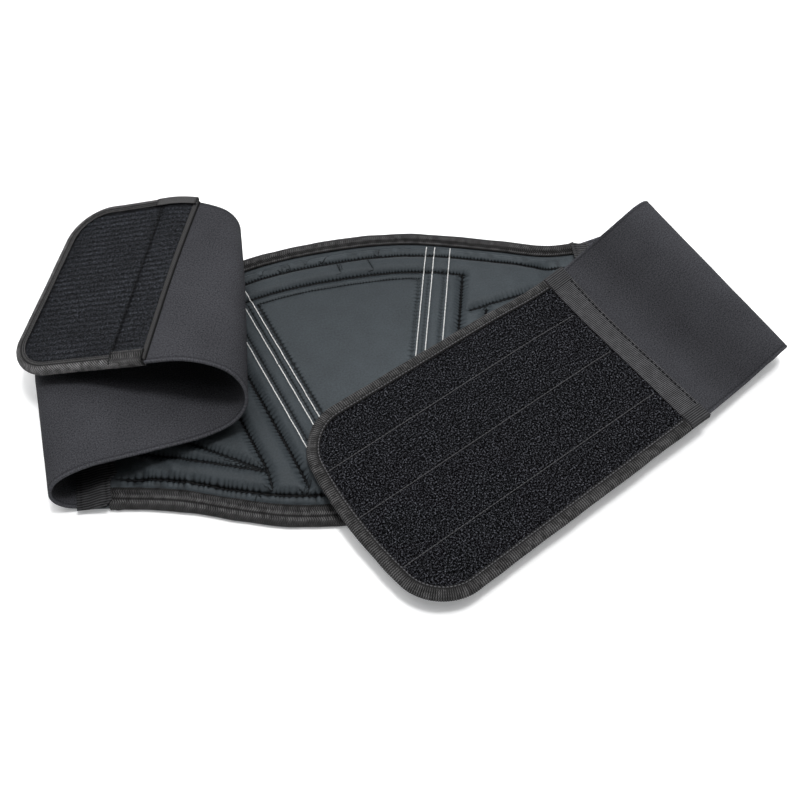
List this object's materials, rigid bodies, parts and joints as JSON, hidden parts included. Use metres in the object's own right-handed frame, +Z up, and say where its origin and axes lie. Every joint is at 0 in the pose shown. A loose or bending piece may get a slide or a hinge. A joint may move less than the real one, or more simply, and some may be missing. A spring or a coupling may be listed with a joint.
{
  "type": "kidney belt",
  "caption": "Soft padded kidney belt lying inside face up, with knit-faced elastic wings folded over a quilted back panel and a hook and loop closure.",
  "frame": {"origin": "On the floor, on the back panel's centre line, in the flat underside of the padding", "axes": "+X along the belt towards the loop panel's wing, +Y from the panel's lower edge to its arched upper edge, +Z up off the floor"},
  "size_m": [0.4854, 0.3152, 0.0695],
  "materials": {
    "panel_nylon": "satin woven nylon, quilted",
    "wing_knit": "matte fine knit on foam",
    "binding_tape": "matte woven binding tape",
    "ribbed_tape": "matte ribbed tape",
    "loop_pile": "matte loop pile",
    "hook_fabric": "fine ribbed hook fabric"
  },
  "bodies": {
    "root": {"back_panel": "panel_nylon", "panel_binding_top": "binding_tape", "panel_binding_bottom": "binding_tape", "joint_tape_left": "ribbed_tape", "joint_tape_right": "ribbed_tape", "wing_left": "wing_knit", "hook_patch": "hook_fabric", "hook_binding": "binding_tape", "wing_right": "wing_knit", "loop_panel": "loop_pile", "loop_binding": "binding_tape", "loop_joint_tape": "ribbed_tape"}
  },
  "joints": []
}
